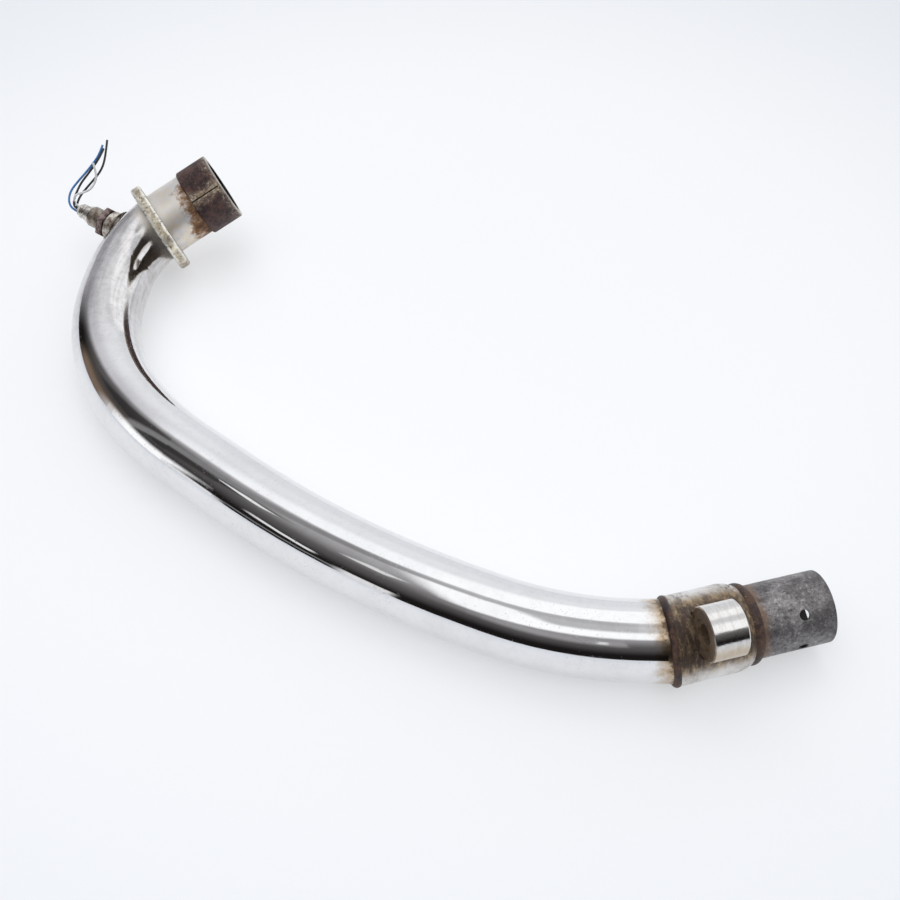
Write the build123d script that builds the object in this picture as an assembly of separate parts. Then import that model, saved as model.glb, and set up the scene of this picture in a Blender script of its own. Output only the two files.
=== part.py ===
from build123d import *
import os
from math import atan, cos, degrees, pi, radians, sin, tan

# Front pipe of a motorcycle exhaust, lying on its side as it comes to rest: a chromed skin over a gas
# pipe, a loose two-stud flange and split collets at the head, an oxygen sensor on the first bend, and a
# welded sleeve, mount boss and plain stub at the outlet. Millimetres, Z up, table at z = 0.

# Tubes: the gas pipe, and the skin a gap outside it
GAS_OD = 38.8
GAS_WALL = 1.5
SKIN_GAP = 0.95
SKIN_WALL = 1.0
SKIN_OD = GAS_OD + 2 * (SKIN_GAP + SKIN_WALL)

# Outlet: sleeve, its welds, the mount boss and the sized stub with its holes
SLEEVE_WALL = 1.8
SLEEVE_LAP = 0.15
SLEEVE_OD = SKIN_OD + 2 * (SLEEVE_WALL - SLEEVE_LAP)
SLEEVE_STRAIGHT = 31.5
SLEEVE_NECK = 6.5
SLEEVE_LENGTH = SLEEVE_STRAIGHT + SLEEVE_NECK
SLEEVE_SEAT = 2.5
SLEEVE_TIP_WALL = 1.6
KNEE_WELD_RISE = 0.5
KNEE_WELD_SECTION = 2.3
STUB_WELD_LENGTH = 5.6
STUB_WELD_CROWN = 0.4
STUB_SIZING = 0.3
BOSS_OD = 28.0
BOSS_LENGTH = 18.5
BOSS_START = 7.0
BOSS_EDGE = 0.6
BOSS_HOLE = 10.5
BOSS_COUNTERBORE = 16.0
BOSS_COUNTERBORE_DEPTH = 1.2
BOSS_SEAT = 4.5
BOSS_ROLL = 57.0
BOSS_WELD_R = 3.0
BOSS_WELD_INSET = 1.0
STUB_HOLE = 5.6
STUB_HOLE_FROM_END = 17.0
STUB_HOLE_ROLL = 50.3
STUB_HOLE_SPREAD = 63.0

# Route of the pipe: mouth, corners of the bends, and the knee where the sleeve is welded on
REST_Z = SKIN_OD / 2
KNEE_WELD_R = SLEEVE_OD / 2 + KNEE_WELD_RISE
MOUTH_AT = (-153.0, 194.5, 53.0)
BENDS = [
    ((-214.0, 166.5, 25.5), 53.5),
    ((-224.0, 60.5, REST_Z), 150.0),
    ((-169.0, -9.5, REST_Z), 215.0),
    ((-58.5, -101.5, REST_Z), 574.0),
    ((56.0, -152.5, 22.5), 199.0),
]
KNEE_AT = (111.0, -155.0, KNEE_WELD_R)
STUB_END_AT = (191.2, -133.0, KNEE_WELD_R)
KNEE_RADIUS = 60.0
KNEE_TILT = 6.0

# Head: welded mouth ring, two half collets, spacer between the pipes
RING_LENGTH = 1.6
RING_EDGE = 0.4
COLLET_CLEARANCE = 0.1
COLLET_WALL = 3.6
COLLET_OD = GAS_OD + 2 * (COLLET_CLEARANCE + COLLET_WALL)
COLLET_LENGTH = 20.9
COLLET_END = RING_LENGTH + COLLET_LENGTH
COLLET_EDGE = 1.0
COLLET_SPLIT = 0.9
COLLET_ROLL = 41.0
SPACER_SETBACK = 2.0
SPACER_LENGTH = 6.0

# Loose flange
FLANGE_STATION = 50.5
FLANGE_SHIFT = 0.96
FLANGE_DROP = 0.5
FLANGE_THICK = 7.0
FLANGE_CLEARANCE = 1.6
FLANGE_BORE = SKIN_OD + 2 * FLANGE_CLEARANCE
FLANGE_RIM = 7.75
FLANGE_BODY_R = FLANGE_BORE / 2 + FLANGE_RIM
STUD_PITCH = 70.0
EAR_R = 11.0
STUD_HOLE = 9.0
FLANGE_LEAN_SIDE = 3.9
FLANGE_LEAN_UP = -3.6
FLANGE_ROLL = 154.0
FLANGE_EDGE = 1.5

# Oxygen sensor: stations are distances from the pipe's centre line along the sensor
SENSOR_STATION = 65.5
SENSOR_AZIMUTH = 148.3
SENSOR_ELEVATION = 4.5
THREAD_D = 12.0
BUNG_WALL = 4.0
BUNG_OD = THREAD_D + 2 * BUNG_WALL
BUNG_RISE = 6.35
BUNG_TOP = SKIN_OD / 2 + BUNG_RISE
BUNG_WELD = 1.6
WASHER_OD = 18.0
WASHER_THICK = 1.3
HEX_AF = 19.0
HEX_HEIGHT = 4.8
HEX_ROLL = -10.0
SHELL_OD = 14.0
SHELL_LENGTH = 11.5
CAP_OD = 12.0
CAP_TIP_OD = 10.0
CAP_LENGTH = 8.2
CAP_GROOVE = 0.8
GROMMET_OD = 7.8
GROMMET_LENGTH = 3.0
PROBE_OD = 8.0
PROBE_LENGTH = 12.0
PROBE_SLOT = 1.6
WIRE_D = 1.5
WIRE_PITCH = 2.6

os.makedirs("parts", exist_ok=True)


def unit(v):
    return v * (1.0 / v.length)


def polar(azimuth, elevation):
    """Direction from an azimuth and an elevation in degrees."""
    a, e = radians(azimuth), radians(elevation)
    return Vector(cos(e) * cos(a), cos(e) * sin(a), sin(e))


def level_frame(origin, axis):
    """Plane with its z along axis and its x level."""
    return Plane(origin=origin, x_dir=unit(Vector(0, 0, 1).cross(axis)), z_dir=axis)


def rod(frame, radius, start, end):
    """Solid cylinder along a frame's z."""
    cylinder = Cylinder(radius, end - start, align=(Align.CENTER, Align.CENTER, Align.MIN))
    return frame * Pos(0, 0, start) * cylinder


def ring(frame, outer, inner, start, end):
    return rod(frame, outer, start, end) - rod(frame, inner, start - 1, end + 1)


def turned(frame, *outline):
    """Solid of revolution about a frame's z from (radius, height) points."""
    profile = make_face(Polyline([(r, 0, h) for r, h in outline], close=True))
    return frame * revolve(profile, Axis.Z)


def tube(path, radius):
    """Solid rod of a round section swept along a path."""
    start = Plane(origin=path @ 0, z_dir=path % 0)
    return sweep(start * Circle(radius), path=path)


# Pipe route
MOUTH, KNEE, STUB_END = Vector(*MOUTH_AT), Vector(*KNEE_AT), Vector(*STUB_END_AT)
corners = [Vector(*corner) for corner, _ in BENDS]
head_dir = unit(corners[0] - MOUTH)
run_dir = unit(KNEE - corners[-1])
stub_dir = unit(STUB_END - KNEE)
mitre_dir = unit(unit(run_dir + stub_dir) + Vector(0, 0, tan(radians(KNEE_TILT))))
radii = [radius for _, radius in BENDS]
OVERRUN = 12.0

skin_path = FilletPolyline(MOUTH + head_dir * COLLET_END, *corners, KNEE + run_dir * OVERRUN, radius=radii)
gas_path = FilletPolyline(MOUTH, *corners, KNEE, STUB_END, radius=radii + [KNEE_RADIUS])

head = level_frame(MOUTH, head_dir)
stub = level_frame(KNEE, stub_dir)
mitre = level_frame(KNEE, mitre_dir)
sensor_base = gas_path @ (SENSOR_STATION / gas_path.length)
sensor = level_frame(sensor_base, polar(SENSOR_AZIMUTH, SENSOR_ELEVATION))

# The sleeve side of the knee's mitre plane, to trim what meets there
BIG = 200.0
after_mitre = mitre * Pos(0, 0, BIG / 2) * Box(BIG, BIG, BIG)
before_mitre = mitre * Pos(0, 0, -BIG / 2) * Box(BIG, BIG, BIG)

skin_solid = tube(skin_path, SKIN_OD / 2) - after_mitre
skin_void = tube(skin_path, SKIN_OD / 2 - SKIN_WALL)
gas_solid = tube(gas_path, GAS_OD / 2)
gas_void = tube(gas_path, GAS_OD / 2 - GAS_WALL)

# Chromed outer skin, pierced for the sensor bung
outer_pipe = skin_solid - skin_void - rod(sensor, BUNG_OD / 2, 0, BUNG_TOP)

# Gas pipe: pierced for the sensor probe, with a sized stub drilled twice through its near wall
stub_length = (STUB_END - KNEE).length
stub_start = SLEEVE_LENGTH + STUB_WELD_LENGTH
inner_pipe = gas_solid - gas_void - rod(sensor, THREAD_D / 2, 0, BUNG_TOP)
inner_pipe -= ring(stub, GAS_OD, GAS_OD / 2 - STUB_SIZING, stub_start, stub_length + 1)
hole_height = stub_length - STUB_HOLE_FROM_END
for spread in (0, STUB_HOLE_SPREAD):
    turn = 180 - STUB_HOLE_ROLL + spread
    drill = Cylinder(STUB_HOLE / 2, GAS_OD, align=(Align.CENTER, Align.CENTER, Align.MIN))
    inner_pipe -= stub * Rot(0, 0, turn) * Pos(0, 0, hole_height) * Rot(0, 90, 0) * drill

# Head fittings
ring_r = COLLET_OD / 2 - COLLET_CLEARANCE
mouth_ring = turned(
    head,
    (GAS_OD / 2, 0),
    (ring_r - RING_EDGE, 0),
    (ring_r, RING_EDGE),
    (ring_r, RING_LENGTH),
    (GAS_OD / 2, RING_LENGTH),
)
collet = turned(
    head,
    (GAS_OD / 2 + COLLET_CLEARANCE, RING_LENGTH),
    (COLLET_OD / 2, RING_LENGTH),
    (COLLET_OD / 2, COLLET_END - COLLET_EDGE),
    (COLLET_OD / 2 - COLLET_EDGE, COLLET_END),
    (GAS_OD / 2 + COLLET_CLEARANCE, COLLET_END),
)
collet_frame = head * Rot(0, 0, COLLET_ROLL)
half_space = Pos(0, COLLET_SPLIT / 2 + BIG / 2, 0) * Box(BIG, BIG, BIG)
collet_half_a = collet & (collet_frame * half_space)
collet_half_b = collet & (collet_frame * Rot(0, 0, 180) * half_space)
spacer_start = COLLET_END + SPACER_SETBACK
front_spacer = ring(head, SKIN_OD / 2 - SKIN_WALL, GAS_OD / 2, spacer_start, spacer_start + SPACER_LENGTH)

# Flange: round body and two ears in one tangent outline, bored for the pipe and drilled for the studs
head_azimuth = degrees(atan(head_dir.Y / head_dir.X))
head_elevation = degrees(atan(-head_dir.Z / (head_dir.X**2 + head_dir.Y**2) ** 0.5))
bend_dir = unit(corners[1] - corners[0])
bend_side = unit(bend_dir - head_dir * bend_dir.dot(head_dir))
flange_centre = MOUTH + head_dir * FLANGE_STATION + bend_side * FLANGE_SHIFT - Vector(0, 0, FLANGE_DROP)
flange_axis = polar(head_azimuth + FLANGE_LEAN_SIDE, head_elevation + FLANGE_LEAN_UP)
flange_frame = level_frame(flange_centre, flange_axis) * Rot(0, 0, FLANGE_ROLL)
ears = [Pos(side * STUD_PITCH / 2, 0) * Circle(EAR_R) for side in (1, -1)]
outline = make_hull((Circle(FLANGE_BODY_R) + ears[0] + ears[1]).edges())
plate = extrude(outline, FLANGE_THICK / 2, both=True)
rims = plate.faces().sort_by(Axis.Z)
plate = fillet(rims[0].edges() + rims[-1].edges(), FLANGE_EDGE)
plate -= Cylinder(FLANGE_BORE / 2, 3 * FLANGE_THICK)
for side in (1, -1):
    plate -= Pos(side * STUD_PITCH / 2, 0) * Cylinder(STUD_HOLE / 2, 3 * FLANGE_THICK)
flange = flange_frame * plate

# Sleeve: pressed tube that necks down onto the gas pipe, mitred against the skin at the knee
tip_r = GAS_OD / 2 + SLEEVE_TIP_WALL
sleeve_r = SLEEVE_OD / 2
shoulder = (sleeve_r - tip_r) / 3
sleeve = turned(
    stub,
    (sleeve_r - SLEEVE_WALL, -OVERRUN),
    (sleeve_r, -OVERRUN),
    (sleeve_r, SLEEVE_STRAIGHT),
    (sleeve_r - shoulder, SLEEVE_STRAIGHT + SLEEVE_NECK / 2),
    (tip_r, SLEEVE_LENGTH),
    (GAS_OD / 2, SLEEVE_LENGTH),
    (GAS_OD / 2, SLEEVE_LENGTH - SLEEVE_SEAT),
    (sleeve_r - SLEEVE_WALL, SLEEVE_STRAIGHT - SLEEVE_WALL),
)
sleeve -= before_mitre
sleeve_envelope = rod(stub, SLEEVE_OD / 2, -OVERRUN, SLEEVE_STRAIGHT) - before_mitre

# Weld beads of the sleeve: a round bead over the knee and a crowned fillet down to the stub
bead_r = KNEE_WELD_R - KNEE_WELD_SECTION
knee_weld = mitre * Torus(bead_r, KNEE_WELD_SECTION) - skin_solid - skin_void - sleeve_envelope
weld_foot = (GAS_OD / 2, 0, SLEEVE_LENGTH)
weld_top = (tip_r, 0, SLEEVE_LENGTH)
weld_crown = (tip_r + STUB_WELD_CROWN, 0, SLEEVE_LENGTH + 0.45 * STUB_WELD_LENGTH)
weld_toe = (GAS_OD / 2, 0, stub_start)
weld_back = Polyline(weld_toe, weld_foot, weld_top)
stub_weld_profile = make_face([ThreePointArc(weld_top, weld_crown, weld_toe), weld_back])
stub_weld = stub * revolve(stub_weld_profile, Axis.Z)

# Mount boss: drilled cylinder saddled on the sleeve, with a weld bead along each side
boss_offset = SLEEVE_OD / 2 + BOSS_OD / 2 - BOSS_SEAT
boss_turn = stub * Rot(0, 0, 180 - BOSS_ROLL)
boss = boss_turn * Pos(boss_offset, 0, 0)
boss_end = BOSS_START + BOSS_LENGTH
mount_boss = rod(boss, BOSS_OD / 2, BOSS_START, boss_end)
mount_boss = chamfer(mount_boss.edges().filter_by(GeomType.CIRCLE), BOSS_EDGE)
mount_boss -= rod(boss, BOSS_HOLE / 2, BOSS_START - 1, boss_end + 1)
mount_boss -= rod(boss, BOSS_COUNTERBORE / 2, BOSS_START - 1, BOSS_START + BOSS_COUNTERBORE_DEPTH)
mount_boss -= rod(stub, SLEEVE_OD / 2, 0, SLEEVE_LENGTH)
seat_x = (boss_offset**2 + (SLEEVE_OD / 2) ** 2 - (BOSS_OD / 2) ** 2) / (2 * boss_offset)
seat_y = ((SLEEVE_OD / 2) ** 2 - seat_x**2) ** 0.5
boss_envelope = rod(boss, BOSS_OD / 2, 0, SLEEVE_LENGTH)
boss_welds = []
for side in (1, -1):
    seam = boss_turn * Pos(seat_x, side * (seat_y + BOSS_WELD_R / 5), 0)
    bead = rod(seam, BOSS_WELD_R, BOSS_START + BOSS_WELD_INSET, boss_end - BOSS_WELD_INSET)
    boss_welds.append(bead - rod(stub, SLEEVE_OD / 2, 0, SLEEVE_LENGTH) - boss_envelope)

# Sensor bung: threaded boss through the skin, saddled on the gas pipe, with a ring of weld outside
bung_core = rod(sensor, BUNG_OD / 2, GAS_OD / 4, BUNG_TOP) - rod(sensor, THREAD_D / 2, 0, BUNG_TOP + 1)
sensor_bung = bung_core - gas_solid
weld_cone = Cone(
    BUNG_OD / 2 + 2 * BUNG_WELD,
    BUNG_OD / 2 + BUNG_WELD / 8,
    2 * BUNG_WELD,
    align=(Align.CENTER, Align.CENTER, Align.MIN),
)
bung_weld = sensor * Pos(0, 0, SKIN_OD / 2 - BUNG_WELD) * weld_cone
bung_weld = bung_weld - skin_solid - skin_void - rod(sensor, BUNG_OD / 2, 0, BUNG_TOP)

# Oxygen sensor, from the probe in the gas to the grommet
hex_base = BUNG_TOP + WASHER_THICK
hex_top = hex_base + HEX_HEIGHT
shell_top = hex_top + SHELL_LENGTH
cap_top = shell_top + CAP_LENGTH
wire_exit = cap_top + GROMMET_LENGTH
sensor_washer = ring(sensor, WASHER_OD / 2, THREAD_D / 2, BUNG_TOP, hex_base)
sensor_washer = fillet(sensor_washer.edges().filter_by(GeomType.CIRCLE).group_by(SortBy.RADIUS)[-1], 0.5)

hex_corner_r = HEX_AF / 2 / cos(radians(30))
hex_flats = extrude(RegularPolygon(HEX_AF / 2, 6, major_radius=False), HEX_HEIGHT)
hex_round = Cone(
    hex_corner_r + HEX_HEIGHT / 2,
    hex_corner_r * 0.97,
    HEX_HEIGHT,
    align=(Align.CENTER, Align.CENTER, Align.MIN),
)
shank_start = GAS_OD / 2 - 1
hex_frame = sensor * Pos(0, 0, hex_base) * Rot(0, 0, HEX_ROLL)
sensor_body = hex_frame * (hex_flats & hex_round) + rod(sensor, THREAD_D / 2, shank_start, hex_base)

probe_tip = shank_start - PROBE_LENGTH
sensor_probe = rod(sensor, PROBE_OD / 2, probe_tip, shank_start)
tip_edge = sensor_probe.edges().filter_by(GeomType.CIRCLE).sort_by_distance(sensor_base)[0]
sensor_probe = fillet(tip_edge, 1.5)
sensor_probe -= rod(sensor, PROBE_OD / 2 - 1, probe_tip + 1, shank_start - 1)
slot_solid = Box(2 * PROBE_OD, PROBE_SLOT, PROBE_LENGTH / 2)
for turn in (0, 60, 120):
    sensor_probe -= sensor * Rot(0, 0, turn) * Pos(0, 0, probe_tip + PROBE_LENGTH / 2) * slot_solid

shell_r, cap_r, cap_tip_r = SHELL_OD / 2, CAP_OD / 2, CAP_TIP_OD / 2
sensor_shell = turned(
    sensor,
    (0, hex_top),
    (shell_r, hex_top),
    (shell_r, shell_top - 1.2),
    (shell_r - 1.2, shell_top),
    (0, shell_top),
)
cap_mid = shell_top + CAP_LENGTH * 0.5
sensor_cap = turned(
    sensor,
    (0, shell_top),
    (cap_r, shell_top),
    (cap_r, shell_top + 1.6),
    (cap_r - CAP_GROOVE, shell_top + 2.2),
    (cap_r - CAP_GROOVE, cap_mid),
    (cap_tip_r, cap_mid + 0.6),
    (cap_tip_r - CAP_GROOVE, cap_mid + 1.5),
    (cap_tip_r - CAP_GROOVE, cap_mid + 2.1),
    (cap_tip_r, cap_mid + 2.7),
    (cap_tip_r, cap_top),
    (0, cap_top),
)
sensor_grommet = turned(
    sensor,
    (0, cap_top),
    (GROMMET_OD / 2, cap_top),
    (GROMMET_OD / 2, wire_exit - 0.8),
    (GROMMET_OD / 2 - 0.8, wire_exit),
    (0, wire_exit),
)

# Four cut wires: each leaves its hole straight for a lead, then follows free points to its bare end
wire_routes = {
    "wire_blue": ((1, -1), 3.0, [
        (-259.3, 198.3, 34), (-260.3, 202.6, 35.7), (-261.1, 208.3, 38), (-256.7, 216.7, 42),
        (-250.1, 226, 47.5), (-245.1, 232.5, 52.5), (-240.8, 235.8, 58),
    ]),
    "wire_black_1": ((1, 1), 3.0, [
        (-259.6, 197.2, 36.2), (-260.4, 201.2, 38), (-258, 206.4, 40.6), (-253.5, 214.5, 44.2),
        (-246.7, 222.6, 49), (-242.5, 228.2, 53), (-239.8, 231.9, 57),
    ]),
    "wire_black_2": ((-1, -1), 3.0, [
        (-256.8, 199.1, 33.3), (-257.2, 203.2, 35.2), (-253.7, 207.3, 37.5), (-249, 215.2, 41),
        (-243.6, 221.9, 45), (-240.8, 232.6, 50), (-239.2, 242.9, 57),
    ]),
    "wire_white": ((-1, 1), 5.0, [
        (-258.7, 200.9, 39.1), (-255.9, 203.5, 44), (-245.6, 202.3, 48.5), (-240.6, 204, 57),
        (-241.6, 206.6, 65.6),
    ]),
}


def bend_radii(points):
    """Largest neat radius at each inner point of a polyline."""
    result = []
    for a, b, c in zip(points, points[1:], points[2:]):
        turn = (b - a).get_angle(c - b)
        shorter = min((b - a).length, (c - b).length)
        result.append(0.45 * shorter / tan(radians(turn / 2)))
    return result


wires = {}
for name, ((across, above), lead, free) in wire_routes.items():
    hole = sensor * Pos(across * WIRE_PITCH / 2, above * WIRE_PITCH / 2, wire_exit)
    start = hole.position
    points = [start, start + polar(SENSOR_AZIMUTH, SENSOR_ELEVATION) * lead] + [Vector(*p) for p in free]
    fillets = bend_radii(points)
    print(name, "radii", [round(r, 1) for r in fillets])
    wires[name] = tube(FilletPolyline(*points, radius=fillets), WIRE_D / 2)

pieces = {
    "outer_pipe": outer_pipe,
    "inner_pipe": inner_pipe,
    "front_spacer": front_spacer,
    "mouth_ring": mouth_ring,
    "collet_half_a": collet_half_a,
    "collet_half_b": collet_half_b,
    "flange": flange,
    "sleeve": sleeve,
    "knee_weld": knee_weld,
    "stub_weld": stub_weld,
    "mount_boss": mount_boss,
    "boss_weld_lower": boss_welds[0],
    "boss_weld_upper": boss_welds[1],
    "sensor_bung": sensor_bung,
    "bung_weld": bung_weld,
    "sensor_washer": sensor_washer,
    "sensor_body": sensor_body,
    "sensor_probe": sensor_probe,
    "sensor_shell": sensor_shell,
    "sensor_cap": sensor_cap,
    "sensor_grommet": sensor_grommet,
}

# The origin goes on the table, under the middle of everything but the wires
box = Compound([piece.solid() for piece in pieces.values()]).bounding_box()
shift = Pos(-(box.min.X + box.max.X) / 2, -(box.min.Y + box.max.Y) / 2, 0)
print("shift", shift.position, "box", box)
for name, piece in {**pieces, **wires}.items():
    moved = shift * piece
    print(name, "volume", round(moved.volume, 1), "low", round(moved.bounding_box().min.Z, 2))
    export_step(moved, f"parts/{name}.step")
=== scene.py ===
from math import cos, degrees, pi, radians, sin, tan

import bpy
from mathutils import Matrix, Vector


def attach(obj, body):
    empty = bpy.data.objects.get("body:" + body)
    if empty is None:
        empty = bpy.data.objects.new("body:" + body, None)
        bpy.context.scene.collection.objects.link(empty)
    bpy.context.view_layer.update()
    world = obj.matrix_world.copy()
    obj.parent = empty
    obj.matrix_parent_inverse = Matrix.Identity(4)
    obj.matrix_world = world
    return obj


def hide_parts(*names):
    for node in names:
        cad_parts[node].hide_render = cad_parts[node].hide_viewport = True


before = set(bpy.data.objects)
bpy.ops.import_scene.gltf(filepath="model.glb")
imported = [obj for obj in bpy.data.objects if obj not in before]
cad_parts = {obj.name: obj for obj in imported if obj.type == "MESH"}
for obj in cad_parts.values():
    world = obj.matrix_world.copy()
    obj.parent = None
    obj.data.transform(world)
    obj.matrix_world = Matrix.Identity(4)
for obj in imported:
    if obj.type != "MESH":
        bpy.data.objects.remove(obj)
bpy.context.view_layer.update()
scene = bpy.context.scene
scene.view_settings.view_transform = "Standard"

# Places of the part, in metres, in the CAD frame
MM_PER_M = 1000
SHIFT = Vector((0.0293427, -0.016001, 0.0))


def place(x, y, z):
    """A point of the photo's table frame, in millimetres, as a point of the CAD frame in metres."""
    return Vector((x, y, z)) / MM_PER_M + SHIFT


ORIGIN = Vector()
BACK = Vector((0, 1, 0))
UP = Vector((0, 0, 1))

# Head: the mouth, the collets and the flange, as far as the first bend
MOUTH = place(-153, 194.5, 53)
FIRST_CORNER = place(-214, 166.5, 25.5)
HEAD_DIR = (FIRST_CORNER - MOUTH).normalized()
HEAD_SIDE = UP.cross(HEAD_DIR).normalized()
HEAD_UP = HEAD_DIR.cross(HEAD_SIDE)
HEAD_LOWER = HEAD_SIDE * 0.6 - HEAD_UP * 0.8  # unit vector towards the head's lower front
COLLET_ROLL = radians(41)
SEAM_NORMAL = HEAD_UP * cos(COLLET_ROLL) - HEAD_SIDE * sin(COLLET_ROLL)
FLANGE_CENTRE = Vector((-0.16579, 0.158119, 0.033509))
FLANGE_AXIS = Vector((0.832082, 0.452836, 0.320279))
BEND_CENTRE = place(-100, 100, 0)  # on the upright line that the long bend turns about

# Outlet: the knee, the sleeve with its boss, and the stub
LAST_CORNER = place(56, -152.5, 22.5)
KNEE = place(111, -155, 23.5)
STUB_END = place(191.2, -133, 23.5)
RUN_DIR = (KNEE - LAST_CORNER).normalized()
STUB_DIR = (STUB_END - KNEE).normalized()
STUB_SIDE = UP.cross(STUB_DIR).normalized()
KNEE_TILT = radians(6)
MITRE_DIR = ((RUN_DIR + STUB_DIR).normalized() + UP * tan(KNEE_TILT)).normalized()
BOSS_TURN = radians(180 - 57)
BOSS_REACH = 0.0325
BOSS_CENTRE = KNEE + (STUB_SIDE * cos(BOSS_TURN) + UP * sin(BOSS_TURN)) * BOSS_REACH

# Camera
ELEVATION = radians(46.85)
DISTANCE = 0.782
FILM_WIDTH = 36
LENS = 52.0
camera_data = bpy.data.cameras.new("camera")
camera_data.sensor_width = FILM_WIDTH
camera_data.lens = LENS
camera = bpy.data.objects.new("camera", camera_data)
camera.location = SHIFT + Vector((0, -DISTANCE * cos(ELEVATION), DISTANCE * sin(ELEVATION)))
camera.rotation_euler = (pi / 2 - ELEVATION, 0, 0)
scene.collection.objects.link(camera)
scene.camera = camera

# Cut wires of the sensor: exit on the grommet, a short lead, then the free points of the route
SENSOR_BASE = place(-205.44, 164.27, 29.38)
SENSOR_AZIMUTH = radians(148.3)
SENSOR_TILT = radians(4.5)
SENSOR_DIR = Vector((
    cos(SENSOR_TILT) * cos(SENSOR_AZIMUTH),
    cos(SENSOR_TILT) * sin(SENSOR_AZIMUTH),
    sin(SENSOR_TILT),
))
SENSOR_SIDE = UP.cross(SENSOR_DIR).normalized()
SENSOR_UP = SENSOR_DIR.cross(SENSOR_SIDE)
WIRE_EXIT = 0.0565
WIRE_HALF_PITCH = 0.0013
WIRE_D = 0.0015
WIRES = {
    "wire_blue": ((1, -1), 0.003, [
        (-260.3, 197.1, 34), (-262.2, 201.8, 36), (-261.7, 208.8, 38.5), (-257.5, 213.8, 42),
        (-251.2, 218.4, 47), (-245.8, 223.8, 51.5), (-242.2, 228.8, 55), (-240.6, 234.9, 58),
    ]),
    "wire_black_1": ((1, 1), 0.0025, [
        (-257.3, 195.7, 37), (-257.2, 200, 39), (-255.7, 205.2, 41.5), (-253.3, 210.2, 44.5),
        (-249, 215.2, 48), (-244.4, 220.7, 52), (-241.3, 225.8, 55), (-239.6, 232.2, 57),
    ]),
    "wire_black_2": ((-1, -1), 0.0025, [
        (-256.4, 198.6, 33.8), (-255.5, 202.4, 36), (-253.5, 206.6, 38), (-250, 210.6, 40.5),
        (-246.2, 215.3, 43), (-242.5, 218.7, 46), (-239.9, 223.2, 49), (-238.9, 231.3, 52.5),
        (-239, 242.5, 57),
    ]),
    "wire_white": ((-1, 1), 0.004, [
        (-257.3, 198, 38.6), (-255.5, 198.4, 43), (-249.3, 195.5, 46.5), (-243.8, 196.4, 48.5),
        (-240.1, 198.9, 52.5), (-238.4, 200.9, 58), (-239.8, 203.3, 65),
    ]),
}


def spline_length(curve_object):
    """Length of a curve's own line, without its thickness."""
    bevel = curve_object.data.bevel_depth
    curve_object.data.bevel_depth = 0
    bpy.context.view_layer.update()
    graph = bpy.context.evaluated_depsgraph_get()
    line = bpy.data.meshes.new_from_object(curve_object.evaluated_get(graph))
    points = [v.co for v in line.vertices]
    length = sum((b - a).length for a, b in zip(points, points[1:]))
    bpy.data.meshes.remove(line)
    curve_object.data.bevel_depth = bevel
    return length


wires = {}
for name, ((across, above), lead, free) in WIRES.items():
    start = (
        SENSOR_BASE
        + SENSOR_DIR * WIRE_EXIT
        + SENSOR_SIDE * across * WIRE_HALF_PITCH
        + SENSOR_UP * above * WIRE_HALF_PITCH
    )
    route = [start, start + SENSOR_DIR * lead] + [place(*p) for p in free]
    curve = bpy.data.curves.new(name + "_cord", "CURVE")
    curve.dimensions = "3D"
    curve.resolution_u = 12
    curve.bevel_depth = 1.0  # times each point's own radius
    curve.bevel_resolution = 5
    curve.use_fill_caps = True
    spline = curve.splines.new("NURBS")
    spline.points.add(len(route) - 1)
    for point, spot in zip(spline.points, route):
        point.co = (*spot, 1)
        point.radius = WIRE_D / 2
    spline.order_u = 3
    spline.use_endpoint_u = True
    wire = bpy.data.objects.new(name + "_cord", curve)
    scene.collection.objects.link(wire)
    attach(wire, "pipe")
    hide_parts(name)
    spline_length(wire)
    wires[name] = wire


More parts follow.
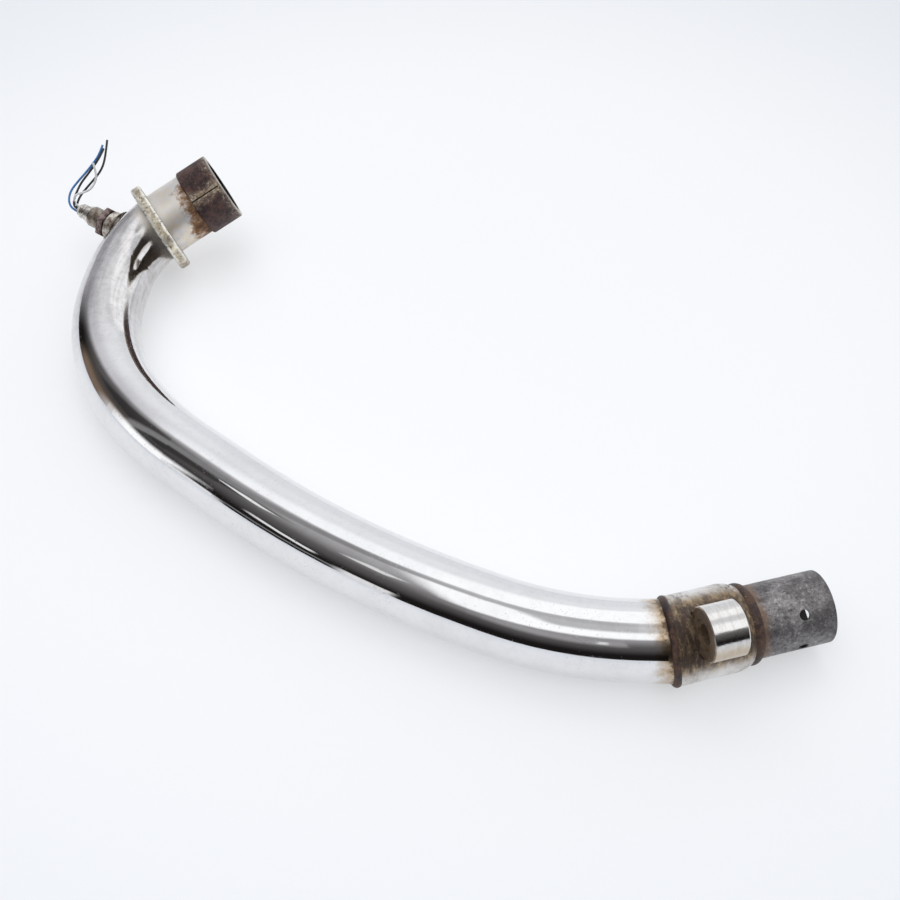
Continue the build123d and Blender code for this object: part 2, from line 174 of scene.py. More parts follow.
class Look:
    """A node tree with short calls for the nodes that the looks here need."""

    SOCKETS = {"color": "Base Color", "metal": "Metallic", "rough": "Roughness", "normal": "Normal"}
    # Sockets of a Mix node that mixes colours, which has others of the same names
    MIX_FACTOR, MIX_A, MIX_B, MIX_RESULT = 0, 6, 7, 2
    STREAK_DRIFT = 0.012  # metres that the arcs of round_streaks wander

    def __init__(self, owner, coordinates="Object"):
        owner.use_nodes = True
        self.owner = owner
        self.tree = owner.node_tree
        self.bsdf = self.tree.nodes.get("Principled BSDF")
        self.place = self.tree.nodes.new("ShaderNodeTexCoord").outputs[coordinates]

    def link(self, value, socket):
        """Feed a socket from another socket or with a constant."""
        if isinstance(value, bpy.types.NodeSocket):
            self.tree.links.new(value, socket)
        else:
            socket.default_value = value

    def set(self, **values):
        """Feed the shader's own sockets."""
        for key, value in values.items():
            self.link(value, self.bsdf.inputs[self.SOCKETS[key]])

    def math(self, operation, a, b=0.0):
        """One sum of two numbers."""
        node = self.tree.nodes.new("ShaderNodeMath")
        node.operation = operation
        self.link(a, node.inputs[0])
        self.link(b, node.inputs[1])
        return node.outputs[0]

    def times(self, first, *others):
        """The product of several numbers."""
        for other in others:
            first = self.math("MULTIPLY", first, other)
        return first

    def plus(self, first, *others):
        """The sum of several numbers."""
        for other in others:
            first = self.math("ADD", first, other)
        return first

    def most(self, first, *others):
        """The largest of several numbers."""
        for other in others:
            first = self.math("MAXIMUM", first, other)
        return first

    def vector(self, operation, a, b=(0, 0, 0)):
        """One sum of two vectors."""
        node = self.tree.nodes.new("ShaderNodeVectorMath")
        node.operation = operation
        self.link(a, node.inputs[0])
        self.link(b, node.inputs[1])
        return node.outputs["Value" if operation in ("DOT_PRODUCT", "LENGTH") else "Vector"]

    def span(self, value, low, high):
        """0 at low and 1 at high, eased and clamped."""
        node = self.tree.nodes.new("ShaderNodeMapRange")
        node.interpolation_type = "SMOOTHSTEP"
        self.link(value, node.inputs["Value"])
        node.inputs["From Min"].default_value = low
        node.inputs["From Max"].default_value = high
        return node.outputs["Result"]

    def band(self, value, start, rise, fall, end):
        """1 between rise and fall, easing to 0 at start and end."""
        return self.times(self.span(value, start, rise), self.span(value, end, fall))

    def range(self, factor, a, b):
        """From a at factor 0 to b at factor 1."""
        node = self.tree.nodes.new("ShaderNodeMapRange")
        self.link(factor, node.inputs["Value"])
        self.link(a, node.inputs["To Min"])
        self.link(b, node.inputs["To Max"])
        return node.outputs["Result"]

    def lerp(self, factor, a, b):
        """From colour a at factor 0 to colour b at factor 1."""
        node = self.tree.nodes.new("ShaderNodeMix")
        node.data_type = "RGBA"
        self.link(factor, node.inputs[self.MIX_FACTOR])
        for color, socket in ((a, self.MIX_A), (b, self.MIX_B)):
            is_socket = isinstance(color, bpy.types.NodeSocket)
            self.link(color if is_socket else (*color, 1), node.inputs[socket])
        return node.outputs[self.MIX_RESULT]

    def layers(self, color, *coats):
        """A colour with others laid over it in turn, each where its share says."""
        for share, coat in coats:
            color = self.lerp(share, color, coat)
        return color

    def noise(self, scale, detail=4.0, rough=0.55, low=None, high=None, place=None):
        """Cloudy noise about 0.5, or stepped from 0 at low to 1 at high."""
        node = self.tree.nodes.new("ShaderNodeTexNoise")
        node.inputs["Scale"].default_value = scale
        node.inputs["Detail"].default_value = detail
        node.inputs["Roughness"].default_value = rough
        self.link(place or self.place, node.inputs["Vector"])
        cloud = node.outputs["Fac"]
        return cloud if low is None else self.span(cloud, low, high)

    def ragged(self, distance, reach, scale, detail, rough):
        """A distance with up to its reach of noise added, so that what ends at it ends raggedly."""
        return self.plus(distance, self.times(self.noise(scale, detail, rough), reach))

    def cells(self, scale):
        """Distance to the middle of the nearest of many scattered cells."""
        node = self.tree.nodes.new("ShaderNodeTexVoronoi")
        node.inputs["Scale"].default_value = scale
        self.link(self.place, node.inputs["Vector"])
        return node.outputs["Distance"]

    def along(self, origin, axis):
        """Millimetres along an axis from a point."""
        offset = self.vector("SUBTRACT", self.place, tuple(origin))
        return self.vector("DOT_PRODUCT", offset, tuple(axis * MM_PER_M))

    def radial(self, origin, axis):
        """Millimetres from an axis through a point."""
        offset = self.vector("SUBTRACT", self.place, tuple(origin))
        reach = self.vector("LENGTH", self.vector("CROSS_PRODUCT", offset, tuple(axis)))
        return self.times(reach, MM_PER_M)

    def squeezed(self, axis, factor):
        """Places with distances along an axis multiplied, for streaks across it."""
        distance = self.vector("DOT_PRODUCT", self.place, tuple(axis))
        node = self.tree.nodes.new("ShaderNodeVectorMath")
        node.operation = "SCALE"
        node.inputs[0].default_value = tuple(axis)
        self.link(self.times(distance, factor - 1), node.inputs["Scale"])
        return self.vector("ADD", self.place, node.outputs["Vector"])

    def round_streaks(self, centre, scale, low, high):
        """Noise drawn out into arcs about an upright line through a point."""
        offset = self.vector("SUBTRACT", self.place, tuple(centre))
        flat = self.vector("MULTIPLY", offset, (1, 1, 0))
        node = self.tree.nodes.new("ShaderNodeCombineXYZ")
        self.link(self.vector("LENGTH", flat), node.inputs["X"])
        self.link(self.vector("DOT_PRODUCT", self.place, tuple(UP)), node.inputs["Y"])
        self.link(self.times(self.noise(9, 2), self.STREAK_DRIFT), node.inputs["Z"])
        return self.noise(scale, 5, 0.62, low, high, place=node.outputs[0])

    def bump(self, height, strength, distance):
        """A normal raised by a height, over a distance in metres."""
        node = self.tree.nodes.new("ShaderNodeBump")
        node.inputs["Strength"].default_value = strength
        node.inputs["Distance"].default_value = distance
        self.link(height, node.inputs["Height"])
        return node.outputs["Normal"]


def material(name):
    """The look of a new material."""
    return Look(bpy.data.materials.new(name))


PLATE = (0.82, 0.82, 0.83)
PLATE_HAZE = (0.64, 0.63, 0.64)
PLATE_DULL = (0.56, 0.55, 0.56)
PLATE_MOTTLE = (0.38, 0.36, 0.36)
PLATE_PALE_STREAK = (0.80, 0.77, 0.77)
PLATE_DARK_STREAK = (0.34, 0.32, 0.32)
PLATE_GRIT = (0.46, 0.44, 0.43)
PLATE_PIT = (0.20, 0.17, 0.15)
PLATE_CHALKY = (0.88, 0.87, 0.86)
PLATE_GOLD = (0.86, 0.74, 0.55)
RUST = (0.30, 0.145, 0.055)
RUST_CRUST = (0.085, 0.038, 0.020)
HEAT_STAIN = (0.40, 0.265, 0.12)
HEAT_SOOT = (0.085, 0.05, 0.035)


def chrome_look():
    """Bright plate, dulled round the first bend, rusting by the collets and heat stained by the knee weld."""
    look = material("header_chrome")
    bend = look.span(look.along(ORIGIN, BACK), 12, 95)
    haze = look.noise(34, 6, 0.65, 0.42, 0.66)
    mottle = look.noise(80, 8, 0.72, 0.40, 0.62)
    fine = look.noise(260, 5, 0.7, 0.45, 0.7)
    pale_streaks = look.round_streaks(BEND_CENTRE, 190, 0.44, 0.60)
    dark_streaks = look.round_streaks(BEND_CENTRE, 130, 0.52, 0.64)
    pit_patches = look.times(look.noise(45, 4, 0.6, 0.46, 0.62), look.range(bend, 0.7, 1.0))
    pits = look.times(look.span(look.cells(620), 0.18, 0.05), pit_patches)

    station = look.along(MOUTH, HEAD_DIR)
    lower = look.along(MOUTH, HEAD_LOWER)
    near_axis = look.span(look.radial(MOUTH, HEAD_DIR), 30, 26)
    by_head = look.times(near_axis, look.span(station, 64, 50))
    rust_line = look.ragged(look.plus(station, look.times(lower, -0.30)), 46, 85, 9, 0.75)
    rust = look.times(look.span(rust_line, 54, 47), near_axis)
    crust = look.times(look.span(rust_line, 50, 42), near_axis, look.noise(300, 8, 0.75, 0.38, 0.50))
    gold = look.times(by_head, look.noise(120, 7, 0.7, 0.40, 0.60))
    chalky = look.times(by_head, look.range(look.span(lower, 1, 17), 0.75, 0.15))

    by_knee = look.span(look.along(KNEE, STUB_DIR), -40, -25)
    stain_line = look.ragged(look.along(KNEE, MITRE_DIR), 17, 190, 7, 0.7)
    stain = look.times(look.span(stain_line, -5, 5), by_knee)
    soot = look.times(look.span(stain_line, 3, 7), by_knee)

    color = look.layers(
        PLATE,
        (look.times(haze, look.range(bend, 0.2, 0.9)), PLATE_HAZE),
        (look.times(bend, 0.45), PLATE_DULL),
        (look.times(mottle, bend, 0.55), PLATE_MOTTLE),
        (look.times(pale_streaks, bend, 0.55), PLATE_PALE_STREAK),
        (look.times(dark_streaks, bend, 0.5), PLATE_DARK_STREAK),
        (look.times(fine, look.range(bend, 0.10, 0.40)), PLATE_GRIT),
        (look.times(pits, 0.8), PLATE_PIT),
        (chalky, PLATE_CHALKY),
        (look.times(gold, 0.55), PLATE_GOLD),
        (look.times(rust, 0.9), RUST),
        (look.times(crust, 0.9), RUST_CRUST),
        (look.times(stain, 0.8), HEAT_STAIN),
        (look.times(soot, 0.85), HEAT_SOOT),
    )
    rough = look.plus(
        look.range(haze, 0.03, 0.06),
        look.times(bend, 0.05),
        look.times(fine, 0.02),
        look.times(by_head, 0.33),
        look.times(rust, 0.12),
        look.times(crust, 0.2),
        look.times(soot, 0.3),
        look.times(pits, 0.3),
    )
    relief = look.plus(look.times(pits, -1.0), look.times(crust, 0.9), look.times(look.noise(70, 3), 0.25))
    dull = look.most(crust, look.times(chalky, 0.6))
    look.set(color=color, metal=look.range(dull, 1.0, 0.3), rough=rough)
    look.set(normal=look.bump(relief, 0.25, 0.0002))
    return look.owner


COLLET_DARK = (0.026, 0.014, 0.016)
COLLET_BROWN = (0.098, 0.050, 0.042)
COLLET_GRAIN = (0.21, 0.14, 0.115)
COLLET_WORN = (0.30, 0.24, 0.20)
COLLET_SCALE = (0.50, 0.39, 0.26)
COLLET_FLAKE = (0.88, 0.80, 0.66)
COLLET_RIM = (0.55, 0.52, 0.47)


def collet_look():
    """Purple-brown rust with pale scale along the seam, worn bright at the mouth's rim."""
    look = material("collet_rust")
    station = look.along(MOUTH, HEAD_DIR)
    seam = look.math("ABSOLUTE", look.along(MOUTH, SEAM_NORMAL))
    patch = look.noise(170, 8, 0.72, 0.38, 0.62)
    grain = look.noise(700, 6, 0.75, 0.5, 0.68)
    scale = look.times(look.span(look.ragged(seam, 16, 240, 7, 0.75), 15, 6), 0.9)
    rim = look.span(look.ragged(station, 2.2, 240, 5, 0.65), 2.3, 1.2)
    worn = look.times(look.span(look.ragged(station, 12, 130, 7, 0.7), 13, 5), 0.6)
    flakes = look.times(look.most(scale, worn), look.noise(520, 7, 0.78, 0.52, 0.60))
    color = look.layers(
        COLLET_DARK,
        (patch, COLLET_BROWN),
        (look.times(grain, 0.5), COLLET_GRAIN),
        (look.times(worn, look.noise(380, 6, 0.7, 0.44, 0.60)), COLLET_WORN),
        (look.times(scale, look.noise(400, 6, 0.72, 0.40, 0.54)), COLLET_SCALE),
        (flakes, COLLET_FLAKE),
        (look.times(rim, 0.75), COLLET_RIM),
    )
    look.set(color=color, metal=look.range(rim, 0.2, 0.85), rough=look.range(rim, 0.58, 0.35))
    look.set(normal=look.bump(look.noise(520, 8, 0.78), 0.9, 0.0009))
    return look.owner


ZINC_DULL = (0.52, 0.45, 0.32)
ZINC_BRIGHT = (0.92, 0.865, 0.72)
ZINC_DIRT = (0.22, 0.155, 0.085)
ZINC_EDGE = (0.95, 0.93, 0.87)
ZINC_LOW_TIP_SHADE = (0.30, 0.23, 0.16)
ZINC_FACE = (0.17, 0.12, 0.080)
ZINC_BEND_FACE_RUST_AND_SHADE = (0.060, 0.040, 0.028)
ZINC_PIT = (0.070, 0.046, 0.026)


def flange_look():
    """Plated casting: worn bright on its rounded edges, pitted on its rim, rusty on both faces; painted shade
    darkens its low tip and, with dark rust, its face towards the bend.
    """
    look = material("flange_zinc")
    off = look.along(FLANGE_CENTRE, FLANGE_AXIS)
    depth = look.math("ABSOLUTE", off)
    edge = look.band(look.ragged(depth, 1.0, 150, 6, 0.7), 2.0, 2.7, 3.6, 3.95)
    faces = look.span(depth, 3.30, 3.47)
    # Dark rust with painted shade on the face that looks towards the bend
    bend_face_rust_and_shade = look.span(off, -3.30, -3.47)
    cloud = look.noise(110, 8, 0.72)
    pits = look.noise(340, 7, 0.7, 0.54, 0.64)
    dirt = look.noise(75, 7, 0.7, 0.50, 0.64)
    # Painted shade: the flange darkens towards its lowest tip, up to 12 mm below its centre
    low_tip_shade = look.span(look.plus(look.along(FLANGE_CENTRE, UP), look.times(cloud, 12)), 0, -12)
    color = look.layers(
        ZINC_DULL,
        (look.span(cloud, 0.36, 0.64), ZINC_BRIGHT),
        (look.times(dirt, 0.65), ZINC_DIRT),
        (look.times(edge, 0.8), ZINC_EDGE),
        (look.times(low_tip_shade, 0.7), ZINC_LOW_TIP_SHADE),
        (look.times(faces, 0.75), ZINC_FACE),
        (look.times(bend_face_rust_and_shade, 0.8), ZINC_BEND_FACE_RUST_AND_SHADE),
        (look.times(pits, 0.85), ZINC_PIT),
    )
    look.set(color=color, metal=look.range(faces, 0.8, 0.4), rough=look.range(cloud, 0.26, 0.50))
    look.set(normal=look.bump(look.plus(look.times(pits, -1.0), look.times(cloud, 0.8)), 0.6, 0.0005))
    return look.owner


SLEEVE_PLATE = (0.84, 0.84, 0.85)
SLEEVE_HAZE = (0.60, 0.58, 0.55)
SLEEVE_AMBER = (0.47, 0.335, 0.175)
SLEEVE_BROWN = (0.125, 0.080, 0.048)
SLEEVE_BURNT = (0.040, 0.024, 0.020)


def sleeve_look():
    """Plated sleeve, burnt brown round the boss and by both welds, brighter underneath and at the back."""
    look = material("sleeve_stained")
    station = look.along(KNEE, STUB_DIR)
    boss = look.radial(BOSS_CENTRE, STUB_DIR)
    streaks = look.squeezed(STUB_DIR, 2.2)
    wander = look.times(look.math("SUBTRACT", look.noise(80, 9, 0.72, place=streaks), 0.5), 24)
    from_boss = look.plus(boss, wander)
    from_knee = look.plus(station, wander)
    by_boss = look.span(from_boss, 44, 24)
    by_knee = look.span(from_knee, 16, 4)
    by_stub = look.span(from_knee, 21, 30)
    low = look.span(look.plus(look.along(KNEE, UP), look.times(wander, 0.5)), 8, -2)
    behind = look.span(look.plus(look.along(KNEE, STUB_SIDE), look.times(wander, 0.3)), 5, 13)
    tint = look.times(
        look.most(by_boss, by_knee, by_stub),
        look.range(low, 1.0, 0.25),
        look.range(behind, 1.0, 0.35),
    )
    burnt = look.times(look.span(from_boss, 29, 18), look.noise(130, 9, 0.75, 0.34, 0.54, place=streaks))
    seared = look.times(look.most(by_knee, by_stub), look.noise(170, 9, 0.75, 0.46, 0.66, place=streaks))
    dark = look.times(look.most(burnt, seared), look.range(low, 1.0, 0.35))
    browned = look.noise(140, 8, 0.72, 0.36, 0.64, place=streaks)
    color = look.layers(
        SLEEVE_PLATE,
        (look.noise(60, 6, 0.65, 0.38, 0.66), SLEEVE_HAZE),
        (look.times(tint, 0.92), look.lerp(browned, SLEEVE_AMBER, SLEEVE_BROWN)),
        (look.times(dark, 0.9), SLEEVE_BURNT),
    )
    look.set(color=color, metal=look.range(dark, 1.0, 0.5))
    look.set(rough=look.plus(look.range(tint, 0.08, 0.24), look.times(dark, 0.22)))
    look.set(normal=look.bump(look.plus(look.noise(320, 7, 0.72), look.times(dark, 0.5)), 0.45, 0.0005))
    return look.owner


WELD_DARK = (0.030, 0.017, 0.016)
WELD_BROWN = (0.105, 0.058, 0.038)
WELD_GLINT = (0.55, 0.50, 0.44)


def weld_look():
    """Burnt brown beads with a few bright glints."""
    look = material("weld_bead")
    patch = look.noise(210, 7, 0.7, 0.42, 0.62)
    glint = look.noise(620, 4, 0.6, 0.64, 0.72)
    color = look.layers(WELD_DARK, (patch, WELD_BROWN), (look.times(glint, 0.6), WELD_GLINT))
    look.set(color=color, metal=look.range(glint, 0.3, 0.9), rough=look.range(patch, 0.42, 0.70))
    look.set(normal=look.bump(look.noise(460, 5, 0.65), 0.8, 0.0008))
    return look.owner


STUB_DARK = (0.115, 0.108, 0.112)
STUB_GREY = (0.30, 0.285, 0.29)
STUB_SPECK = (0.68, 0.66, 0.65)
STUB_PIT = (0.022, 0.019, 0.020)
STUB_SCUFF = (0.040, 0.035, 0.037)
STUB_TIP_SHADE = (0.050, 0.046, 0.048)
STUB_HEAT = (0.21, 0.125, 0.075)
STUB_SOOT = (0.012, 0.011, 0.011)


def stub_look():
    """Scaled grey steel, pitted and speckled, orange where the weld heated it, sooty inside, with painted
    shade darkening its open end.
    """
    look = material("stub_steel")
    station = look.along(KNEE, STUB_DIR)
    cloud = look.noise(70, 8, 0.72, 0.36, 0.64)
    grain = look.noise(620, 9, 0.82)
    specks = look.times(look.span(grain, 0.52, 0.64), look.range(cloud, 0.35, 0.9))
    scuffs = look.noise(200, 8, 0.75, 0.52, 0.66, place=look.squeezed(STUB_DIR, 0.5))
    # Painted shade: the stub darkens over its last 16 mm towards its open end
    tip = look.span(station, 70, 86)
    heat = look.band(look.ragged(station, 10, 170, 8, 0.72), 38, 42, 49, 54)
    inside_head = look.span(look.radial(MOUTH, HEAD_DIR), 18.9, 18.3)
    inside_stub = look.span(look.radial(KNEE, STUB_DIR), 18.8, 18.2)
    soot = look.most(inside_head, inside_stub)
    color = look.layers(
        STUB_DARK,
        (cloud, STUB_GREY),
        (specks, STUB_SPECK),
        (look.times(look.span(grain, 0.47, 0.38), 0.8), STUB_PIT),
        (look.times(scuffs, 0.6), STUB_SCUFF),
        (look.times(tip, 0.45), STUB_TIP_SHADE),
        (look.times(heat, 0.8), STUB_HEAT),
        (look.times(soot, 0.95), STUB_SOOT),
    )
    look.set(color=color, metal=0.6, rough=look.range(grain, 0.34, 0.60))
    look.set(normal=look.bump(look.plus(grain, look.times(scuffs, -0.5)), 0.6, 0.0006))
    return look.owner


BOSS_PLATE = (0.77, 0.76, 0.75)
BOSS_LINE = (0.68, 0.66, 0.64)
BOSS_UNDER = (0.46, 0.36, 0.235)
BOSS_BROWN = (0.33, 0.235, 0.155)
BOSS_GRIME_AND_SHADE = (0.070, 0.050, 0.040)


def boss_look():
    """Turned boss: bright round its side, burnt brown on its front face and along the welds, and brown and
    dark in its bore as painted shade.
    """
    look = material("boss_chrome")
    face = look.span(look.along(KNEE, STUB_DIR), 7.9, 7.3)
    # Painted shade: the bore and counterbore, within 8 mm of the boss's axis, are browned and darkened
    bore = look.span(look.radial(BOSS_CENTRE, STUB_DIR), 8.4, 8.0)
    burn = look.span(look.ragged(look.radial(KNEE, STUB_DIR), 16, 180, 7, 0.7), 37, 28)
    under = look.span(look.ragged(look.along(BOSS_CENTRE, UP), 8, 150, 7, 0.7), 11, 4)
    brown = look.most(face, bore, burn)
    lines = look.noise(90, 6, 0.7, 0.42, 0.62, place=look.squeezed(STUB_DIR, 6))
    # Grime on the front face, and painted shade in the bore
    grime_and_bore_shade = look.times(look.most(face, bore), look.noise(260, 7, 0.7, 0.42, 0.60))
    color = look.layers(
        BOSS_PLATE,
        (lines, BOSS_LINE),
        (look.times(under, 0.75), BOSS_UNDER),
        (look.times(brown, 0.85), BOSS_BROWN),
        (look.times(grime_and_bore_shade, 0.6), BOSS_GRIME_AND_SHADE),
    )
    look.set(color=color, metal=look.range(grime_and_bore_shade, 1.0, 0.5))
    look.set(rough=look.plus(look.range(brown, 0.12, 0.36), look.times(lines, 0.06)))
    look.set(normal=look.bump(look.noise(360, 5), 0.25, 0.0003))
    return look.owner


def steel_look(name, dark, light, rough, metal=0.8):
    """Sensor steels: two tones in soft patches, finely scratched."""
    spread = 0.1
    look = material(name)
    cloud = look.noise(260, 7, 0.68)
    look.set(color=look.lerp(look.span(cloud, 0.38, 0.62), dark, light), metal=metal)
    look.set(rough=look.range(cloud, rough - spread, rough + spread))
    look.set(normal=look.bump(look.noise(900, 5, 0.65), 0.35, 0.0003))
    return look.owner


def soft_look(name, color, tint, rough):
    """Wire insulation and rubber: a slightly uneven colour with a dull sheen."""
    spread = 0.08
    look = material(name)
    cloud = look.noise(320, 4)
    look.set(color=look.lerp(cloud, color, tint), rough=look.range(cloud, rough - spread, rough + spread))
    look.set(normal=look.bump(look.noise(1500, 3), 0.15, 0.0001))
    return look.owner


chrome = chrome_look()
collet_rust = collet_look()
zinc = flange_look()
sleeve_metal = sleeve_look()
weld = weld_look()
stub_metal = stub_look()
boss_metal = boss_look()
bung_metal = steel_look("bung_steel", (0.22, 0.165, 0.130), (0.76, 0.72, 0.66), 0.42)
hex_metal = steel_look("hex_steel", (0.075, 0.048, 0.044), (0.34, 0.27, 0.25), 0.44)
shell_metal = steel_look("shell_steel", (0.17, 0.13, 0.10), (0.42, 0.38, 0.33), 0.36)
cap_metal = steel_look("cap_steel", (0.46, 0.43, 0.39), (0.78, 0.76, 0.72), 0.24, metal=1.0)
pale_rubber = soft_look("grommet_rubber", (0.50, 0.46, 0.39), (0.68, 0.65, 0.59), 0.6)
wire_looks = {
    "wire_blue": soft_look("blue_insulation", (0.025, 0.13, 0.36), (0.05, 0.20, 0.50), 0.4),
    "wire_black_1": soft_look("black_insulation", (0.008, 0.009, 0.011), (0.016, 0.017, 0.020), 0.4),
    "wire_white": soft_look("white_insulation", (0.70, 0.71, 0.72), (0.80, 0.81, 0.82), 0.45),
}
wire_looks["wire_black_2"] = wire_looks["wire_black_1"]

node_looks = {
    "outer_pipe": chrome,
    "inner_pipe": stub_metal,
    "front_spacer": stub_metal,
    "mouth_ring": collet_rust,
    "collet_half_a": collet_rust,
    "collet_half_b": collet_rust,
    "flange": zinc,
    "sleeve": sleeve_metal,
    "knee_weld": weld,
    "stub_weld": weld,
    "mount_boss": boss_metal,
    "boss_weld_lower": weld,
    "boss_weld_upper": weld,
    "sensor_bung": bung_metal,
    "bung_weld": bung_metal,
    "sensor_washer": bung_metal,
    "sensor_body": hex_metal,
    "sensor_probe": shell_metal,
    "sensor_shell": shell_metal,
    "sensor_cap": cap_metal,
    "sensor_grommet": pale_rubber,
}
for name, dress in node_looks.items():
    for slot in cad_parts[name].material_slots:
        slot.material = dress
for name, wire in wires.items():
    wire.data.materials.append(wire_looks[name])

# Floor: pale and lit softly, with a painted fall-off of light that greys it away from the middle. To the
# camera and in reflections it also glows a little.
FLOOR_HALF = 6.0
FLOOR_MIDDLE = (0.03, 0.12, 0.0)
FLOOR_FADE = (0.22, 0.66)
FLOOR_NEAR = (0.86, 0.88, 0.92)
FLOOR_FAR = (0.775, 0.80, 0.845)
GLOW_NEAR = (0.985, 0.992, 1.0)
GLOW_FAR = (0.83, 0.86, 0.905)
GLOW_SHARE = 0.5
corners = [(x * FLOOR_HALF, y * FLOOR_HALF, 0) for x, y in ((-1, -1), (1, -1), (1, 1), (-1, 1))]
floor_mesh = bpy.data.meshes.new("floor")
floor_mesh.from_pydata(corners, [], [(0, 1, 2, 3)])
floor = bpy.data.objects.new("floor", floor_mesh)
scene.collection.objects.link(floor)
look = material("floor_white")
from_middle = look.vector("LENGTH", look.vector("SUBTRACT", look.place, FLOOR_MIDDLE))
# Painted fall-off of light: greyer away from the middle, in both the colour and the glow
painted_falloff = look.span(from_middle, *FLOOR_FADE)
look.set(color=look.lerp(painted_falloff, FLOOR_NEAR, FLOOR_FAR), rough=0.8)
glow = look.tree.nodes.new("ShaderNodeEmission")
look.link(look.lerp(painted_falloff, GLOW_NEAR, GLOW_FAR), glow.inputs["Color"])
rays = look.tree.nodes.new("ShaderNodeLightPath").outputs
seen = look.most(rays["Is Camera Ray"], rays["Is Glossy Ray"], rays["Is Transmission Ray"])
blend = look.tree.nodes.new("ShaderNodeMixShader")
share, plain, glowing = blend.inputs
look.link(look.times(seen, GLOW_SHARE), share)
look.link(look.bsdf.outputs["BSDF"], plain)
look.link(glow.outputs["Emission"], glowing)
look.link(blend.outputs["Shader"], look.tree.nodes["Material Output"].inputs["Surface"])
floor_mesh.materials.append(look.owner)

# Room that the chrome shows: dark in front and to the left but for a few windows, white walls behind, and a
# white ceiling with a beam and a hatch, greyer to the right. Azimuths are from +Y towards +X and elevations
# from level, in degrees; across and ahead are places on a ceiling 1 above.
ROOM_LOW = (0.012, 0.010, 0.010)
ROOM_MIDDLE = (0.115, 0.109, 0.108)
ROOM_HIGH = (0.47, 0.46, 0.47)
SHADE_TONE = (0.030, 0.027, 0.027)
WARM_WALL_TONE = (0.205, 0.150, 0.112)
FRONT_GLOW_TONE = (0.36, 0.35, 0.36)
WALL_LOW_LEFT = (0.41, 0.41, 0.43)
WALL_LOW_BACK = (0.84, 0.86, 0.89)
WALL_HIGH_LEFT = (0.64, 0.64, 0.67)
WALL_HIGH_BACK = (0.92, 0.93, 0.95)
WALL_TOP = (1.13, 1.14, 1.16)
CEILING_TONE = (1.19, 1.20, 1.21)
EAST_TONE = (0.46, 0.46, 0.48)
BEAM_TONE = (0.50, 0.50, 0.515)
BEAM_LEFT_TONE = (0.26, 0.255, 0.26)
SLIT_TONE = (0.90, 0.90, 0.91)
BACKDROP_TONE = (0.70, 0.72, 0.755)
LEAST_DIVISOR = 0.02
# Azimuth and elevation spans, each with its soft margin, and a brightness
WINDOWS = [
    ((-105.5, -103.5, -91, -76), (-4, -3, 10, 21), 1.20),
    ((-109.5, -107.5, -104.5, -103), (-4, -3, 3, 7), 0.90),
    ((-128, -125, -110, -108), (3.5, 5, 6.5, 8.5), 0.20),
    ((-134, -132, -127, -124), (-4, -3, 9, 12), 0.85),
    ((-123, -121, -115, -113), (44, 46, 50, 53), 0.80),
    ((-99.5, -97.5, -92, -90), (42.5, 44, 47, 49), 1.00),
    ((-176, -175, -173, -172), (37, 39, 44, 46), 0.80),
]
WINDOW_BLUE = 1.01
world = bpy.data.worlds.new("room")
scene.world = world
look = Look(world, "Generated")
split = look.tree.nodes.new("ShaderNodeSeparateXYZ")
look.link(look.place, split.inputs[0])
x, y, z = split.outputs
height = look.most(z, LEAST_DIVISOR)
across = look.math("DIVIDE", x, height)
ahead = look.math("DIVIDE", y, height)
azimuth = look.times(look.math("ARCTAN2", x, y), degrees(1))
elevation = look.times(look.math("ARCSINE", z), degrees(1))

shade = look.times(look.band(azimuth, -100, -95, -70, -62), look.band(elevation, 24, 29, 47, 54))
warm_wall = look.times(look.band(azimuth, -92, -85, -66, -58), look.span(elevation, 27, 9))
front_glow = look.times(look.span(azimuth, -126, -146), look.band(elevation, 30, 42, 46, 54))

leftness = look.most(look.times(x, -1.0), LEAST_DIVISOR)
corner_lean = look.times(look.span(elevation, 58, 20), 0.27)
corner = look.math("SUBTRACT", look.math("DIVIDE", y, leftness), corner_lean)
behind = look.span(corner, 0.42, 0.82)
toward_back = look.span(azimuth, -50, -5)
low_wall = look.lerp(toward_back, WALL_LOW_LEFT, WALL_LOW_BACK)
high_wall = look.lerp(toward_back, WALL_HIGH_LEFT, WALL_HIGH_BACK)
back_wall = look.layers(
    low_wall,
    (look.span(elevation, 18, 34), high_wall),
    (look.span(elevation, 46, 58), WALL_TOP),
)

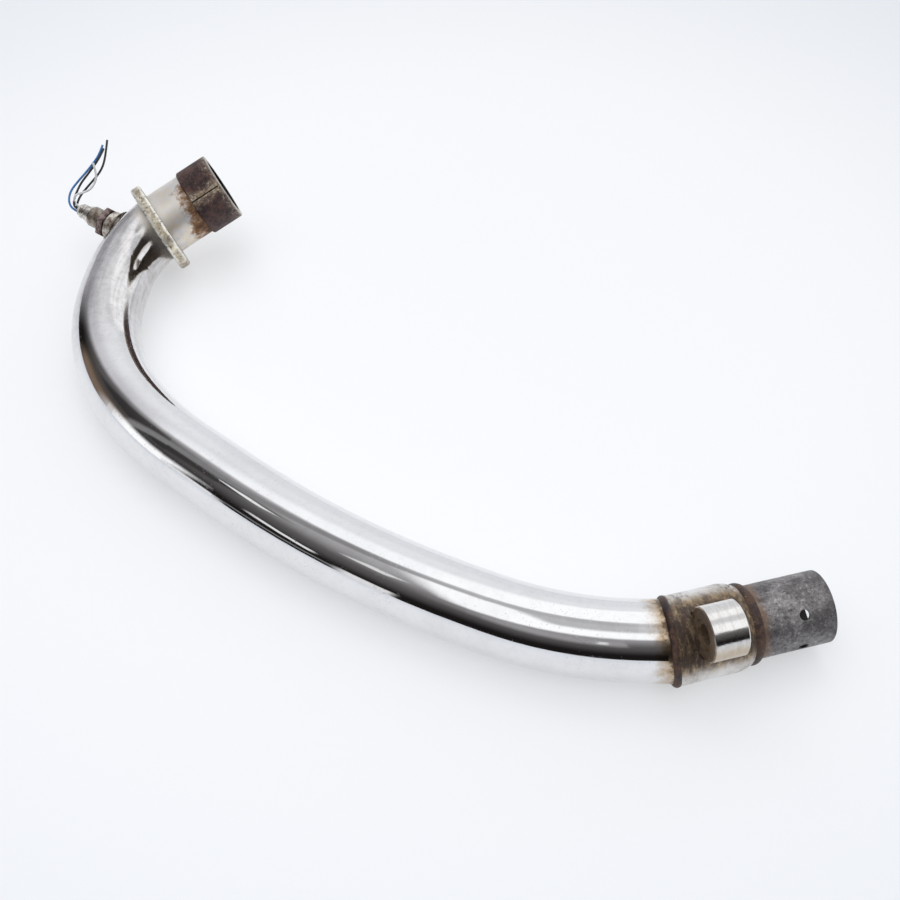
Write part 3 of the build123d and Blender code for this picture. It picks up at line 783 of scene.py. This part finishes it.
slant = look.math("SUBTRACT", across, look.times(ahead, 0.5))
ceiling = look.times(look.span(slant, -0.44, -0.33), look.span(ahead, -0.75, -0.58))
east = look.times(look.band(azimuth, 26, 44, 80, 100), look.band(elevation, 28, 44, 68, 80))
beam = look.times(look.band(ahead, -0.02, 0.07, 0.15, 0.26), look.span(across, 0.16, 0.02))
beam_tone = look.lerp(look.span(across, -0.12, -0.45), BEAM_TONE, BEAM_LEFT_TONE)
hatch = look.times(look.band(ahead, -0.36, -0.20, 0.12, 0.24), look.band(across, -0.22, -0.14, 0.05, 0.16))

room = look.layers(
    ROOM_LOW,
    (look.span(z, 0.18, 0.62), ROOM_MIDDLE),
    (look.span(z, 0.55, 0.95), ROOM_HIGH),
    (look.times(shade, 0.85), SHADE_TONE),
    (warm_wall, WARM_WALL_TONE),
    (front_glow, FRONT_GLOW_TONE),
    (behind, back_wall),
    (ceiling, CEILING_TONE),
    (look.times(east, 0.6), EAST_TONE),
    (look.times(beam, 0.9), beam_tone),
    (look.times(hatch, 0.9), BEAM_TONE),
)
for wide, tall, light in WINDOWS:
    pane = look.times(look.band(azimuth, *wide), look.band(elevation, *tall))
    room = look.lerp(pane, room, (light, light, light * WINDOW_BLUE))
# A slanting slit among the windows
rise = look.math("SUBTRACT", elevation, look.times(look.plus(azimuth, 120.0), 0.33))
slit = look.times(look.band(azimuth, -121.5, -120, -111, -109), look.band(rise, 13.0, 14.5, 17.5, 19.0))
room = look.lerp(slit, room, SLIT_TONE)
# Beyond the floor's far edge, where a low camera sees past it, there is a plain pale backdrop
rays = look.tree.nodes.new("ShaderNodeLightPath").outputs
direct = look.most(rays["Is Camera Ray"], rays["Is Transmission Ray"])
room = look.lerp(direct, room, BACKDROP_TONE)
look.link(room, look.tree.nodes["Background"].inputs["Color"])

# Softboxes: a large one above, towards the left, and a weaker one from the front, each with its place, size
# and watts. The chrome shows the room, so it doesn't show these.
SOFTBOXES = [
    ("softbox", (-0.45, 0.1, 1.5), (2.0, 1.6), 10.0),
    ("fill", (0.15, -1.1, 1.1), (1.4, 1.0), 3.8),
]
for name, spot, (wide, tall), energy in SOFTBOXES:
    lamp_data = bpy.data.lights.new(name, "AREA")
    lamp_data.shape = "RECTANGLE"
    lamp_data.size = wide
    lamp_data.size_y = tall
    lamp_data.energy = energy
    lamp = bpy.data.objects.new(name, lamp_data)
    lamp.visible_glossy = False
    lamp.location = spot
    lamp.rotation_euler = (-lamp.location).to_track_quat("-Z", "Y").to_euler()
    scene.collection.objects.link(lamp)

bpy.context.view_layer.update()
